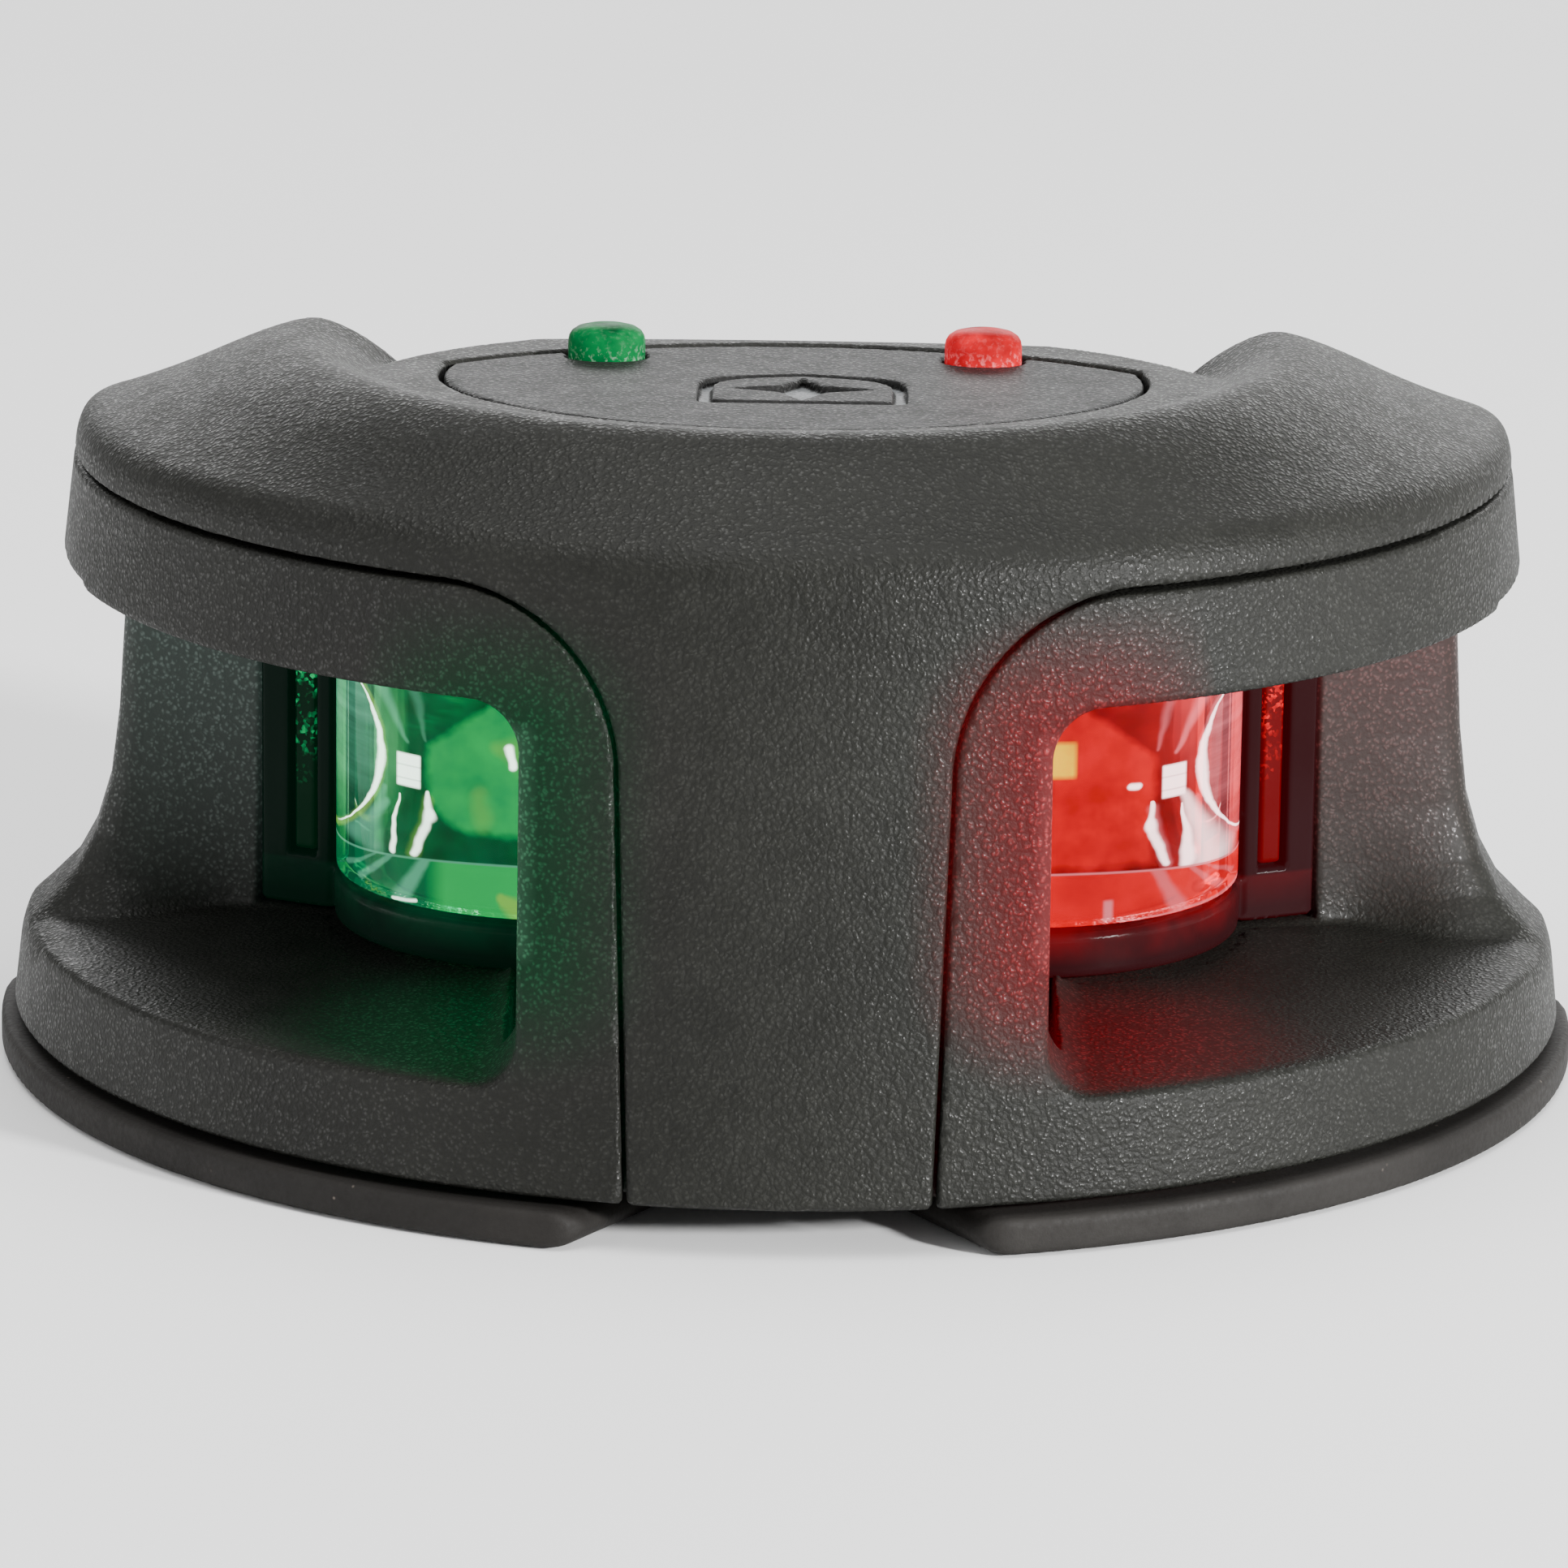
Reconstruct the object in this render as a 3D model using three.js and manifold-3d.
// Two-colour bow navigation light for a small boat, deck mounted. Millimetres, +Z up.
// The dead-ahead direction is -Y; starboard (green) is on -X, port (red) on +X.
// The shapes are laid out about the centre of the round base, with z = 0 under the gasket,
// and the whole object is centred in plan at the end.
import * as THREE from 'three';
import { mergeVertices } from 'three/addons/utils/BufferGeometryUtils.js';
import Module from 'manifold-3d';

const wasm = await Module();
wasm.setup();

// ---------------------------------------------------------------- driving dimensions
const FIT = 0.3;                 // clearance between neighbouring parts
const SEGMENTS = 80;             // points round one outline

const GASKET_RADIUS = 44.45;     // 88.9 overall width
const GASKET_REAR = 19.6;        // rear half of the outline is an ellipse this deep
const GASKET_THICK = 2.0;
const NOTCH_MOUTH = 12.4;        // half width of the front notch at y = -46
const NOTCH_ROOT = 2.5;
const NOTCH_ROOT_Y = -30;

const WALL_RADIUS = 43.7;        // drafted outer wall, radius at its lower edge
const WALL_REAR = 18.9;
const WALL_DRAFT = 0.115;        // radius lost per millimetre of height
const WALL_BOTTOM = 2.5;
const SEAM_Z = 34.0;             // level joint between cover and housing
const COVER_WALL = 2.0;
const COLUMN_HALF_TOP = 8.6;     // front column of the cover
const COLUMN_HALF_BOTTOM = 7.9;
const SEAM_CORNER = 9.4;         // radius where the level joint turns down the column

const SHOULDER_Z = 36.2;
const SHOULDER_RADIUS = 39.6;
const SHOULDER_REAR = 14.5;
const CREST_Z = 40.6;
const CREST_FRONT = 31.7;
const CREST_SIDE = 28.3;
const CREST_REAR = 5.5;
const LAND_TILT = 0.049;         // the top land falls towards the rear
const LAND_FRONT_Y = -31;
const LAND_BACK_Y = -14;         // centre of the round rear edge of the land
const LAND_BACK_RADIUS = 24;
const TOP_HUB_Y = -9;

const PLATE_HALF = 19.2;         // indicator plate, pointed at both ends
const PLATE_FRONT_RADIUS = 19.0;
const PLATE_CENTRE_Y = -7.7;
const PLATE_REAR_RADIUS = 24.9;
const PLATE_REAR_Y = 4.3;
const PLATE_THICK = 1.8;
const PLATE_GROOVE = 0.6;
const PIPE_X = 10.5;
const PIPE_Y = -0.4;
const PIPE_RADIUS = 2.15;
const PIPE_TOP = 40.8;

const WINDOW_EDGE = 13.8;        // inner edge of each window
const WINDOW_BOTTOM = 7.8;
const WINDOW_TOP = 27.9;
const WINDOW_CORNER = 2.6;
const SILL_RISE = 0.075;         // the sill rises inwards so that water drains off

const CHAMBER = { x: 12.3, y: -9.3, radius: 13.0, bottom: 9.0, top: 29.3 };
const LENS_RADIUS = 12.7;
const LENS_WALL = 1.8;
const FOOT_TOP = 11.7;

const MOUNT_HOLES = [[0, -26], [-31.2, 0.6], [31.2, 0.6]];
const MOUNT_HOLE_RADIUS = 2.3;
const MOUNT_HEAD_RADIUS = 3.7;
const BASE_SCREWS = [[-23, -27], [23, -27], [-14, 9.5], [14, 9.5]];

// ---------------------------------------------------------------- materials
function material(name, color, roughness, metalness = 0, opacity = 1) {
  const made = new THREE.MeshStandardMaterial({ name, color, roughness, metalness });
  if (opacity < 1) {
    made.transparent = true;
    made.opacity = opacity;
  }
  return made;
}

const charcoal = material('charcoal_grained_plastic', 0x3b3b3c, 0.62);
const charcoalTop = material('charcoal_plate_plastic', 0x434344, 0.66);
const rubber = material('black_rubber', 0x1f1d1b, 0.85);
const blackPlastic = material('black_plastic', 0x161617, 0.5);
const clearLens = material('clear_polycarbonate', 0xf2f6f6, 0.06, 0, 0.35);
const greenLens = material('green_tinted_optic', 0x0fb04a, 0.1, 0, 0.6);
const redLens = material('red_tinted_optic', 0xe01226, 0.1, 0, 0.6);
const bright = material('vacuum_plated_reflector', 0xd9dcde, 0.15, 0.9);
const laminate = material('green_board_laminate', 0x1c5a33, 0.55);
const ceramic = material('led_package', 0xf3e7b0, 0.4);
const steel = material('stainless_steel', 0xb7b9bb, 0.3, 1.0);
const wireRed = material('red_insulation', 0xa81818, 0.5);
const wireGreen = material('green_insulation', 0x1a7a30, 0.5);

// ---------------------------------------------------------------- solids and booleans
function toManifold(geometry) {
  const bare = geometry.clone();
  bare.deleteAttribute('normal');
  bare.deleteAttribute('uv');
  const welded = mergeVertices(bare, 1e-5);
  return new wasm.Manifold(new wasm.Mesh({
    numProp: 3,
    vertProperties: new Float32Array(welded.attributes.position.array),
    triVerts: new Uint32Array(welded.index.array),
  }));
}

function toGeometry(solid) {
  const mesh = solid.getMesh();
  const geometry = new THREE.BufferGeometry();
  geometry.setAttribute('position', new THREE.BufferAttribute(new Float32Array(mesh.vertProperties), 3));
  geometry.setIndex(new THREE.BufferAttribute(new Uint32Array(mesh.triVerts), 1));
  return geometry;
}

const join = (...solids) => wasm.Manifold.union(solids);
const cut = (body, ...tools) => body.subtract(wasm.Manifold.union(tools));
const common = (...solids) => wasm.Manifold.intersection(solids);

function box(x0, x1, y0, y1, z0, z1) {
  const geometry = new THREE.BoxGeometry(x1 - x0, y1 - y0, z1 - z0);
  geometry.translate((x0 + x1) / 2, (y0 + y1) / 2, (z0 + z1) / 2);
  return toManifold(geometry);
}

function drum(x, y, radius, z0, z1, sides = 20) {
  const geometry = new THREE.CylinderGeometry(radius, radius, z1 - z0, sides);
  geometry.rotateX(Math.PI / 2);
  geometry.translate(x, y, (z0 + z1) / 2);
  return toManifold(geometry);
}

// a turned body: profile pairs are [radius, height], starting and ending on the axis
function turned(profile, x, y, sides = 36) {
  const points = profile.map(([r, z]) => new THREE.Vector2(r, z));
  const geometry = new THREE.LatheGeometry(points, sides);
  geometry.rotateX(Math.PI / 2);
  geometry.translate(x, y, 0);
  return toManifold(geometry);
}

// an upright prism over a plan shape
function prism(shape, z0, z1, curveSegments = 18) {
  const geometry = new THREE.ExtrudeGeometry(shape, { depth: z1 - z0, bevelEnabled: false, curveSegments });
  geometry.translate(0, 0, z0);
  return toManifold(geometry);
}

// a prism over a shape drawn in the front view (x across, z up), running from y0 back to y1
function frontPrism(shape, y0, y1, curveSegments = 16) {
  const geometry = new THREE.ExtrudeGeometry(shape, { depth: y1 - y0, bevelEnabled: false, curveSegments });
  geometry.rotateX(Math.PI / 2);
  geometry.translate(0, y1, 0);
  return toManifold(geometry);
}

// skin over a stack of rings with equal point counts, closed by a fan at each end
function ringStack(rings, bottomHub, topHub) {
  const count = rings[0].length;
  const positions = [];
  const index = [];
  for (const ring of rings) {
    for (const point of ring) positions.push(point.x, point.y, point.z);
  }
  for (let level = 0; level < rings.length - 1; level += 1) {
    for (let i = 0; i < count; i += 1) {
      const a = level * count + i;
      const b = level * count + ((i + 1) % count);
      index.push(a, b, b + count, a, b + count, a + count);
    }
  }
  const bottom = positions.length / 3;
  positions.push(bottomHub.x, bottomHub.y, bottomHub.z, topHub.x, topHub.y, topHub.z);
  const last = (rings.length - 1) * count;
  for (let i = 0; i < count; i += 1) {
    const next = (i + 1) % count;
    index.push(bottom, next, i, bottom + 1, last + i, last + next);
  }
  const geometry = new THREE.BufferGeometry();
  geometry.setAttribute('position', new THREE.Float32BufferAttribute(positions, 3));
  geometry.setIndex(index);
  return toManifold(geometry);
}

// plan outline: round in front, half an ellipse behind, anticlockwise from dead ahead
function outline(radius, rear, z) {
  const points = [];
  for (let i = 0; i < SEGMENTS; i += 1) {
    const turn = (2 * Math.PI * i) / SEGMENTS;
    const depth = Math.cos(turn) > 0 ? radius : rear;
    points.push(new THREE.Vector3(radius * Math.sin(turn), -depth * Math.cos(turn), z));
  }
  return points;
}

const wallRadius = (z) => WALL_RADIUS - WALL_DRAFT * (z - WALL_BOTTOM);
const wallRear = (z) => WALL_REAR - WALL_DRAFT * (z - WALL_BOTTOM);

// the drafted wall shape, taken in by inset, between two heights
function wallBody(inset, z0, z1) {
  const rings = [z0, z1].map((z) => outline(wallRadius(z) - inset, wallRear(z) - inset, z));
  return ringStack(rings, new THREE.Vector3(0, 0, z0), new THREE.Vector3(0, 0, z1));
}

// ---------------------------------------------------------------- top of the cover
const landZ = (y) => CREST_Z - LAND_TILT * (y - LAND_FRONT_Y);

// smooth minimum of two heights, blended over about the given width
function softMin(a, b, width) {
  const h = Math.max(width - Math.abs(a - b), 0) / width;
  return Math.min(a, b) - (h * h * width) / 4;
}

const softMax = (a, b, width) => -softMin(-a, -b, width);

// crest of the bevel: further out in front than at the sides
function crestRadius(x, y) {
  const bearing = Math.min(Math.abs(Math.atan2(x, -y)), Math.PI / 2);
  return CREST_FRONT + (CREST_SIDE - CREST_FRONT) * (bearing / (Math.PI / 2)) ** 2;
}

// height of the top at a plan point: bevel all round, shallow land in the middle that ends
// in a round rear edge, and a horn standing above the land on each side
function topZ(x, y) {
  const crest = crestRadius(x, y);
  const shoulder = Math.hypot(x / SHOULDER_RADIUS, y / (y > 0 ? SHOULDER_REAR : SHOULDER_RADIUS));
  const summit = Math.hypot(x / crest, y / (y > 0 ? CREST_REAR : crest));
  const climb = (1 - shoulder) / Math.max(summit - shoulder, 1e-6);
  const bevel = SHOULDER_Z + (CREST_Z + 0.25 - SHOULDER_Z) * THREE.MathUtils.clamp(climb, 0, 1.6);
  const behind = Math.hypot(x, y - LAND_BACK_Y) - LAND_BACK_RADIUS;
  const fall = y > LAND_BACK_Y ? 0.5 * THREE.MathUtils.clamp(behind, 0, 3.6) : 0;
  const land = landZ(y) - fall;
  const flank = 0.072 * Math.max(crest - Math.hypot(x, y), 0) ** 2;
  const horn = CREST_Z + 0.15 - flank - 0.9 * Math.max(y - 0.3, 0);
  return softMin(bevel, softMax(land, horn, 0.5), 0.9);
}

function topBody() {
  const rings = [
    outline(wallRadius(SEAM_Z), wallRear(SEAM_Z), SEAM_Z),
    outline(wallRadius(35.5), wallRear(35.5) - 0.3, 35.5),
  ];
  const edge = outline(SHOULDER_RADIUS, SHOULDER_REAR, SHOULDER_Z);
  const steps = [0, 0.05, 0.11, 0.17, 0.22, 0.26, 0.3, 0.34, 0.39, 0.45, 0.52, 0.65];
  for (const step of steps) {
    rings.push(edge.map((point) => {
      const x = point.x * (1 - step);
      const y = point.y + (TOP_HUB_Y - point.y) * step;
      return new THREE.Vector3(x, y, topZ(x, y));
    }));
  }
  const hub = new THREE.Vector3(0, TOP_HUB_Y, topZ(0, TOP_HUB_Y));
  return ringStack(rings, new THREE.Vector3(0, TOP_HUB_Y, SEAM_Z), hub);
}

// room inside the cover, above the joint
function coverRoom() {
  const rings = [
    outline(wallRadius(SEAM_Z - 0.1) - COVER_WALL, wallRear(SEAM_Z) - COVER_WALL, SEAM_Z - 0.1),
    outline(37.4, 12.6, 34.6),
    outline(30.4, 7.4, 37.2),
  ];
  const floor = ringStack(rings, new THREE.Vector3(0, -8, SEAM_Z - 0.1), new THREE.Vector3(0, -8, 37.2));
  return cut(floor, box(-60, 60, -4, 60, 35.3, 50));
}

// front-view shape of everything that belongs to the cover: top above the joint, and column
function coverMask(grow) {
  const corner = SEAM_CORNER - grow;
  const centreX = COLUMN_HALF_TOP + SEAM_CORNER;
  const centreZ = SEAM_Z - SEAM_CORNER;
  const shape = new THREE.Shape();
  shape.moveTo(-70, 70);
  shape.lineTo(-70, SEAM_Z - grow);
  shape.lineTo(-centreX, SEAM_Z - grow);
  shape.absarc(-centreX, centreZ, corner, Math.PI / 2, 0, true);
  shape.lineTo(-COLUMN_HALF_BOTTOM - grow, -5);
  shape.lineTo(COLUMN_HALF_BOTTOM + grow, -5);
  shape.lineTo(COLUMN_HALF_TOP + grow, centreZ);
  shape.absarc(centreX, centreZ, corner, Math.PI, Math.PI / 2, true);
  shape.lineTo(70, SEAM_Z - grow);
  shape.lineTo(70, 70);
  shape.closePath();
  return frontPrism(shape, -70, 60, 10);
}

// oval with pointed ends, grown outwards all round
function plateShape(grow) {
  const front = PLATE_FRONT_RADIUS + grow;
  const rear = PLATE_REAR_RADIUS + grow;
  const rearCentre = PLATE_REAR_Y - PLATE_REAR_RADIUS;
  const rearTurn = Math.asin((PLATE_HALF - 1.6 + grow * 0.6) / rear);
  const frontTurn = 0.12;
  const shape = new THREE.Shape();
  shape.absarc(0, PLATE_CENTRE_Y, front, Math.PI + frontTurn, 2 * Math.PI - frontTurn, false);
  shape.lineTo(PLATE_HALF + grow, PLATE_CENTRE_Y + 1.6);
  shape.absarc(0, rearCentre, rear, Math.PI / 2 - rearTurn, Math.PI / 2 + rearTurn, false);
  shape.lineTo(-PLATE_HALF - grow, PLATE_CENTRE_Y + 1.6);
  shape.closePath();
  return shape;
}

// everything between two planes that both lie parallel to the top land
function landSlab(under, over) {
  const corners = [[-60, -60], [60, -60], [60, 60], [-60, 60]];
  const ring = (drop) => corners.map(([x, y]) => new THREE.Vector3(x, y, landZ(y) - drop));
  return ringStack(
    [ring(under), ring(over)],
    new THREE.Vector3(0, 0, landZ(0) - under),
    new THREE.Vector3(0, 0, landZ(0) - over),
  );
}

// ---------------------------------------------------------------- cover
function makeCover() {
  const shell = cut(
    join(wallBody(0, WALL_BOTTOM, SEAM_Z), topBody()),
    wallBody(COVER_WALL, WALL_BOTTOM - 1, SEAM_Z),
    coverRoom(),
  );
  const rearOfColumn = box(-60, 60, -20, 60, -5, SEAM_Z);
  const outside = cut(common(shell, coverMask(0)), rearOfColumn);
  const opening = prism(plateShape(PLATE_GROOVE), 30, 50);
  const tongue = (x) => box(x - 1, x + 1, -15, -9, 29.6, 36.4);
  return join(cut(outside, opening), tongue(-33.5), tongue(33.5));
}

// ---------------------------------------------------------------- housing
function windowPocket(side) {
  const band = turned([
    [0, WINDOW_BOTTOM + 43.1 * SILL_RISE],
    [80, WINDOW_BOTTOM - 36.9 * SILL_RISE],
    [80, WINDOW_TOP],
    [0, WINDOW_TOP],
  ], 0, 0, 60);
  const plan = new THREE.Shape();
  plan.moveTo(-13.2, -70);
  plan.lineTo(-13.9, -20);
  plan.lineTo(-14.5, -11);
  plan.lineTo(-24, -9.9);
  plan.lineTo(-29.6, -7);
  plan.lineTo(-37.3, -3.8);
  plan.lineTo(-75, 11.8);
  plan.lineTo(-75, -70);
  plan.closePath();
  const face = new THREE.Shape();
  const r = WINDOW_CORNER;
  face.moveTo(-90, WINDOW_BOTTOM - 4);
  face.lineTo(-60, WINDOW_BOTTOM - 4);
  face.lineTo(-60, WINDOW_BOTTOM);
  face.lineTo(-WINDOW_EDGE - r, WINDOW_BOTTOM);
  face.absarc(-WINDOW_EDGE - r, WINDOW_BOTTOM + r, r, -Math.PI / 2, 0, false);
  face.absarc(-WINDOW_EDGE - r, WINDOW_TOP - r, r, 0, Math.PI / 2, false);
  face.lineTo(-90, WINDOW_TOP);
  face.closePath();
  const pocket = common(band, prism(plan, 0, 40), frontPrism(face, -70, 20, 6));
  return side < 0 ? pocket : pocket.scale([-1, 1, 1]);
}

function waistCut() {
  const waist = [
    [5.3, 44.2], [7.4, 42.8], [8.3, 41.9], [10, 40.2], [12, 39.1],
    [15, 38.2], [19, 37.7], [24, 37.4], [WINDOW_TOP + 1, 37.3],
  ];
  const rings = waist.map(([z, r]) => {
    const inset = wallRadius(z) - r;
    return outline(r, wallRear(z) - inset, z);
  });
  const top = waist[waist.length - 1][0];
  const core = ringStack(rings, new THREE.Vector3(0, 0, waist[0][0]), new THREE.Vector3(0, 0, top));
  return cut(box(-60, 60, -12, 60, 5.4, WINDOW_TOP), core);
}

function chamber(side) {
  const { x, y, radius, bottom, top } = CHAMBER;
  const round = drum(side * x, y, radius, bottom, top, 48);
  const limit = side < 0 ? box(-60, -1.1, -60, 60, 0, 40) : box(1.1, 60, -60, 60, 0, 40);
  return common(round, limit);
}

// recess that takes the frame outboard of each lens
function frameRecess(side) {
  const plan = new THREE.Shape();
  plan.moveTo(-23.2, -10.6);
  plan.lineTo(-29.5, -7.6);
  plan.lineTo(-28.5, -5.1);
  plan.lineTo(-22.4, -8.0);
  plan.closePath();
  const recess = prism(plan, CHAMBER.bottom, CHAMBER.top);
  return side < 0 ? recess : recess.scale([-1, 1, 1]);
}

// narrow drain slot between the sill and the inner side of each window
function drainSlot(side) {
  const slot = box(-14.5, -13.2, -34.5, -20, 7.2, 12);
  return side < 0 ? slot : slot.scale([-1, 1, 1]);
}

function mountingShafts() {
  return MOUNT_HOLES.map(([x, y]) => join(
    drum(x, y, MOUNT_HOLE_RADIUS, 0, 40),
    drum(x, y, MOUNT_HEAD_RADIUS, 12, 40),
  ));
}

function makeHousing() {
  const body = wallBody(0, WALL_BOTTOM, SEAM_Z - FIT);
  const channel = cut(coverMask(FIT), wallBody(COVER_WALL + FIT, 0, SEAM_Z), box(-60, 60, -20, 60, -5, 60));
  const pedestal = common(
    prism(plateShape(-0.6), SEAM_Z - 1, 45),
    cut(landSlab(20, 0), landSlab(PLATE_THICK + 0.1 + FIT, -5)),
  );
  const underside = cut(
    wallBody(4.6, 0, 6.6),
    ...BASE_SCREWS.map(([x, y]) => drum(x, y, 4.2, 4.6, 10)),
    ...MOUNT_HOLES.map(([x, y]) => drum(x, y, 4.9, 4.6, 10)),
  );
  const boardRoom = box(-12.5, 12.5, 5.4, 10.6, 0, 26);
  const leadWays = [-1, 1].map((side) => box(
    Math.min(side * 4.2, side * 9.2), Math.max(side * 4.2, side * 9.2), 1, 8, 22.5, 25.5,
  ));
  const slots = [-33.5, 33.5].map((x) => box(x - 1.4, x + 1.4, -15.4, -8.6, 29.2, 40));
  const pipes = [-PIPE_X, PIPE_X].map((x) => drum(x, PIPE_Y, PIPE_RADIUS + FIT, 33.2, 45, 24));
  const screws = BASE_SCREWS.map(([x, y]) => drum(x, y, 1.65, 0, 7.1, 16));
  return cut(
    join(body, pedestal),
    channel,
    windowPocket(-1),
    windowPocket(1),
    waistCut(),
    chamber(-1),
    chamber(1),
    frameRecess(-1),
    frameRecess(1),
    drainSlot(-1),
    drainSlot(1),
    underside,
    boardRoom,
    ...leadWays,
    ...slots,
    ...pipes,
    ...screws,
    ...mountingShafts(),
  );
}

// ---------------------------------------------------------------- base, gasket and top plate
function makeGasket() {
  const sheet = ringStack(
    [outline(GASKET_RADIUS, GASKET_REAR, 0), outline(GASKET_RADIUS, GASKET_REAR, GASKET_THICK)],
    new THREE.Vector3(0, 0, 0),
    new THREE.Vector3(0, 0, GASKET_THICK),
  );
  const notch = new THREE.Shape();
  notch.moveTo(-NOTCH_MOUTH, -46);
  notch.lineTo(NOTCH_MOUTH, -46);
  notch.lineTo(NOTCH_ROOT, NOTCH_ROOT_Y);
  notch.lineTo(-NOTCH_ROOT, NOTCH_ROOT_Y);
  notch.closePath();
  const holes = MOUNT_HOLES.map(([x, y]) => drum(x, y, 2.6, -1, 5));
  return cut(sheet, prism(notch, -1, 5), drum(0, 7.6, 3.2, -1, 5), ...holes);
}

function makeBasePlate() {
  const plate = ringStack(
    [outline(38.4, 13.6, GASKET_THICK + FIT), outline(38.4, 13.6, 4.3)],
    new THREE.Vector3(0, 0, GASKET_THICK + FIT),
    new THREE.Vector3(0, 0, 4.3),
  );
  return cut(
    plate,
    drum(0, 7.6, 3.5 + FIT, 0, 6),
    ...MOUNT_HOLES.map(([x, y]) => drum(x, y, 2.6, 0, 6)),
    ...BASE_SCREWS.map(([x, y]) => join(drum(x, y, 1.9, 0, 6, 16), drum(x, y, 3.0, 0, 3.3, 20))),
  );
}

function makeIndicatorPlate() {
  const blank = common(prism(plateShape(0), 30, 45), landSlab(PLATE_THICK + 0.1, 0.1));
  const emblemFloor = drum(0, -11, 5.6, 30, 45, 48);
  const ring = cut(emblemFloor, drum(0, -11, 4.7, 30, 45, 48));
  const star = new THREE.Shape();
  for (let i = 0; i < 8; i += 1) {
    const reach = i % 2 ? 1.3 : 4.1;
    const turn = (Math.PI * i) / 4;
    const x = reach * Math.sin(turn);
    const y = -11 + reach * Math.cos(turn);
    if (i === 0) star.moveTo(x, y);
    else star.lineTo(x, y);
  }
  star.closePath();
  const marks = common(join(ring, prism(star, 30, 45)), landSlab(0.6, -3));
  const holes = [-PIPE_X, PIPE_X].map((x) => drum(x, PIPE_Y, PIPE_RADIUS + FIT, 30, 45, 24));
  return cut(blank, marks, ...holes);
}

function makeIndicatorPipe(side) {
  return turned([
    [0, 33.6],
    [PIPE_RADIUS, 33.6],
    [PIPE_RADIUS, PIPE_TOP - 0.8],
    [PIPE_RADIUS - 0.25, PIPE_TOP - 0.35],
    [PIPE_RADIUS - 0.8, PIPE_TOP - 0.05],
    [0, PIPE_TOP],
  ], side * PIPE_X, PIPE_Y, 28);
}

function makeGrommet() {
  return turned([
    [1.6, 2.4],
    [3.5, 2.4],
    [3.5, 4.5],
    [4.4, 4.6],
    [4.4, 5.2],
    [1.6, 5.2],
    [1.6, 2.4],
  ], 0, 7.6, 28);
}

function makeBaseScrew([x, y]) {
  return turned([[0, 2.4], [2.7, 2.4], [2.7, 3.0], [1.4, 3.0], [1.4, 6.7], [0, 6.8]], x, y, 20);
}

// ---------------------------------------------------------------- light units
// part of a ring seen in plan, from one bearing to another; bearing 0 is dead ahead
// and grows outboard on the starboard side
function ringSector(inner, outer, from, to, z0, z1) {
  const shape = new THREE.Shape();
  const steps = 20;
  const at = (radius, bearing) => [-radius * Math.sin(bearing), -radius * Math.cos(bearing)];
  for (let i = 0; i <= steps; i += 1) {
    const [x, y] = at(outer, from + ((to - from) * i) / steps);
    if (i === 0) shape.moveTo(x, y);
    else shape.lineTo(x, y);
  }
  for (let i = steps; i >= 0; i -= 1) {
    const [x, y] = at(inner, from + ((to - from) * i) / steps);
    shape.lineTo(x, y);
  }
  shape.closePath();
  return prism(shape, z0, z1).translate([-CHAMBER.x, CHAMBER.y, 0]);
}

function onSide(side, solid) {
  return side < 0 ? solid : solid.scale([-1, 1, 1]);
}

const AHEAD = -0.9;
const ABEAM = 1.62;

// plan strip along the side frame, outboard of the curved lens wall; depth is from its front face
function framePlan(fromX, toX, front, depth, skew = 0) {
  const slope = (-7.3 + 9.95) / (29.2 - 23.6);
  const frontY = (x) => -9.95 + front + slope * (x - 23.6);
  const shape = new THREE.Shape();
  shape.moveTo(-fromX, frontY(fromX));
  shape.lineTo(-toX, frontY(toX));
  shape.lineTo(-toX + skew * depth, frontY(toX) + depth);
  shape.lineTo(-fromX + skew * depth, frontY(fromX) + depth);
  shape.closePath();
  return shape;
}

function makeLens(side) {
  return onSide(side, ringSector(LENS_RADIUS - LENS_WALL, LENS_RADIUS, AHEAD, ABEAM, FOOT_TOP + FIT, 29.0));
}

// dark foot ring under the lens, with the upright frame at its outboard end
function makeLensSeal(side) {
  const arc = ringSector(LENS_RADIUS - 2.4, LENS_RADIUS + 0.1, AHEAD, ABEAM, CHAMBER.bottom + 0.2, FOOT_TOP);
  const frame = prism(framePlan(25.3, 29.1, 0, 1.7, 0.45), CHAMBER.bottom + 0.2, 29.0);
  const tie = prism(framePlan(23.8, 25.6, 0.2, 1.5, 0.45), CHAMBER.bottom + 0.2, FOOT_TOP);
  const groove = prism(framePlan(26.2, 27.8, -0.5, 1.5), FOOT_TOP + 0.4, 28.6);
  return onSide(side, cut(join(arc, frame, tie), groove));
}

// narrow tinted strip set in the frame's groove
function makeEdgeStrip(side) {
  return onSide(side, prism(framePlan(26.35, 27.65, 0.25, 0.45), FOOT_TOP + 0.6, 28.4));
}

function makeInnerOptic(side) {
  return turned([
    [0, 11.9], [10.0, 11.9], [10.1, 12.4], [10.1, 14.1], [9.5, 14.5],
    [9.1, 17.0], [8.9, 20.0], [9.1, 23.0], [9.6, 26.0], [9.4, 26.3], [0, 26.3],
  ], side * CHAMBER.x, CHAMBER.y, 36);
}

function makeReflector(side) {
  return onSide(side, ringSector(10.9, 11.9, ABEAM + 0.15, Math.PI + 1.1, 9.6, 28.4));
}

function makeLedBoard(side) {
  const round = drum(-CHAMBER.x, CHAMBER.y, 9.6, 27.7, 28.9, 40);
  return onSide(side, common(round, box(-60, -3.2, -60, 60, 0, 40)));
}

function makeLed(side) {
  const x = side * (CHAMBER.x + 0.4);
  const base = box(x - 1.75, x + 1.75, CHAMBER.y - 1.75, CHAMBER.y + 1.75, 26.9, 27.5);
  const dome = turned([[0, 26.5], [0.9, 26.6], [1.4, 27.0], [0, 27.1]], x, CHAMBER.y, 20);
  return join(base, dome);
}

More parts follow.
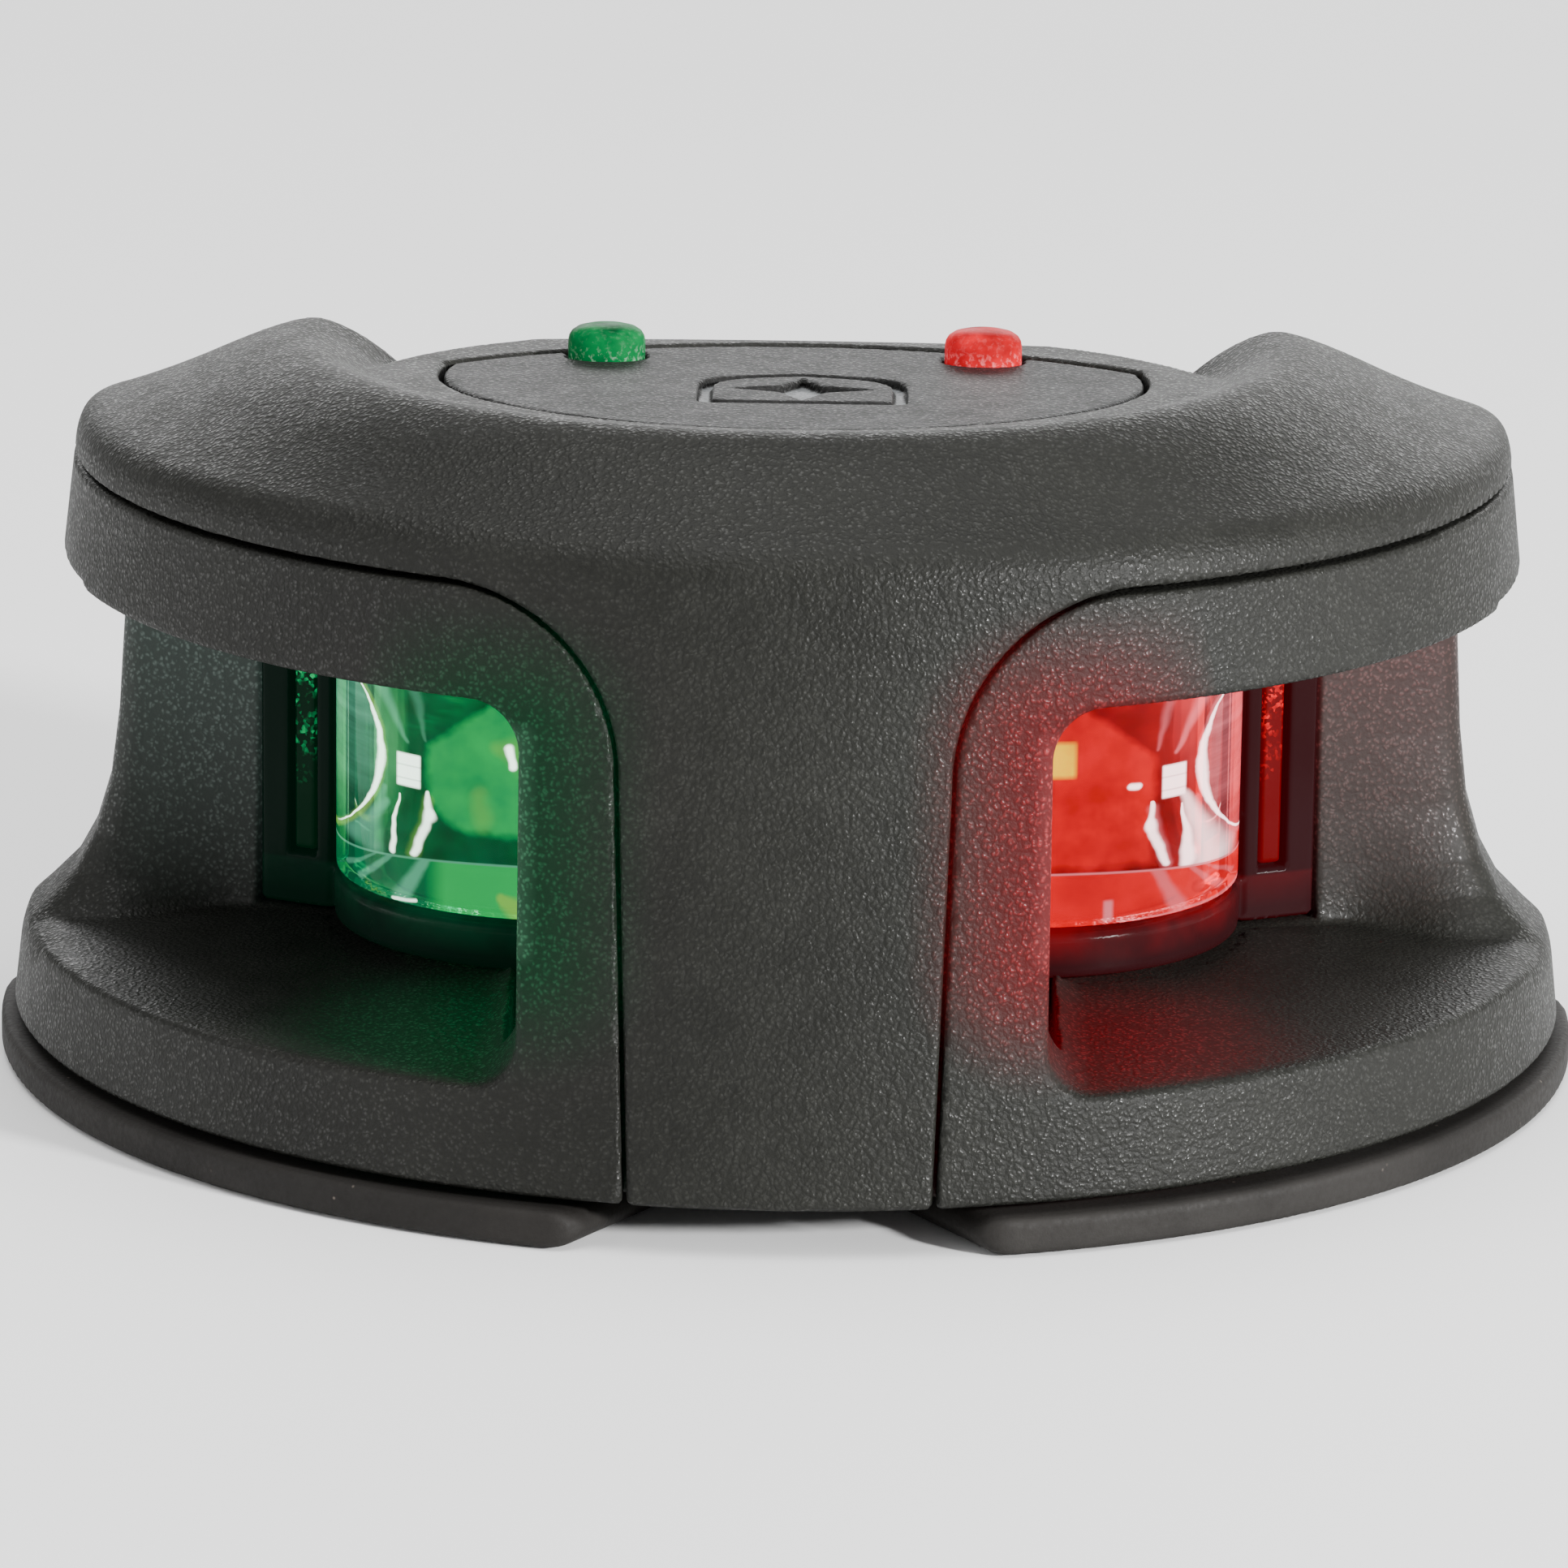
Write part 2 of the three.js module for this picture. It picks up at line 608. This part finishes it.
// upright board behind the lamps with a few components on its rear face
function makeDriverBoard() {
  const board = box(-11.8, 11.8, 6.4, 7.8, 7.2, 24.5);
  const coil = box(-8.6, -3.6, 7.6, 9.9, 10, 15);
  const chip = box(0.6, 4.2, 7.6, 9.0, 11, 14.6);
  const capacitor = box(6.4, 9.4, 7.6, 9.8, 16, 21);
  const socket = box(-3.4, 3.4, 7.6, 10.0, 18.4, 22.0);
  return join(board, coil, chip, capacitor, socket);
}

// short lead from the board forward to each lamp
function makeLead(side) {
  const x = side * 6.7;
  const path = new THREE.CatmullRomCurve3([
    new THREE.Vector3(x, 6.1, 24.0),
    new THREE.Vector3(x, 4.4, 24.2),
    new THREE.Vector3(x + side * 0.4, 2.3, 24.0),
  ]);
  const wire = new THREE.Shape();
  wire.absarc(0, 0, 0.6, 0, 2 * Math.PI, false);
  return toManifold(new THREE.ExtrudeGeometry(wire, {
    steps: 10, curveSegments: 6, bevelEnabled: false, extrudePath: path,
  }));
}

// ---------------------------------------------------------------- assembly
const SIDES = [['starboard', -1], ['port', 1]];
const parts = [
  ['gasket', makeGasket(), rubber],
  ['base_plate', makeBasePlate(), blackPlastic],
  ['housing', makeHousing(), charcoal],
  ['cover', makeCover(), charcoal],
  ['indicator_plate', makeIndicatorPlate(), charcoalTop],
  ['green_indicator_pipe', makeIndicatorPipe(-1), greenLens],
  ['red_indicator_pipe', makeIndicatorPipe(1), redLens],
  ['wire_grommet', makeGrommet(), rubber],
  ['driver_board', makeDriverBoard(), laminate],
  ['green_lead', makeLead(-1), wireGreen],
  ['red_lead', makeLead(1), wireRed],
];
for (const [label, side] of SIDES) {
  const tint = side < 0 ? greenLens : redLens;
  parts.push([`${label}_lens`, makeLens(side), clearLens]);
  parts.push([`${label}_lens_seal`, makeLensSeal(side), blackPlastic]);
  parts.push([`${label}_edge_strip`, makeEdgeStrip(side), tint]);
  parts.push([`${label}_inner_optic`, makeInnerOptic(side), tint]);
  parts.push([`${label}_reflector`, makeReflector(side), bright]);
  parts.push([`${label}_led_board`, makeLedBoard(side), laminate]);
  parts.push([`${label}_led`, makeLed(side), ceramic]);
}
BASE_SCREWS.forEach((place, i) => {
  parts.push([`base_plate_screw_${i + 1}`, makeBaseScrew(place), steel]);
});

const group = new THREE.Group();
group.name = 'navigation_light';
for (const [name, solid, surface] of parts) {
  const mesh = new THREE.Mesh(toGeometry(solid), surface);
  mesh.name = name;
  group.add(mesh);
}
const bounds = new THREE.Box3().setFromObject(group);
const middle = bounds.getCenter(new THREE.Vector3());
for (const mesh of group.children) {
  mesh.geometry.translate(-middle.x, -middle.y, -bounds.min.z);
}

export default group;
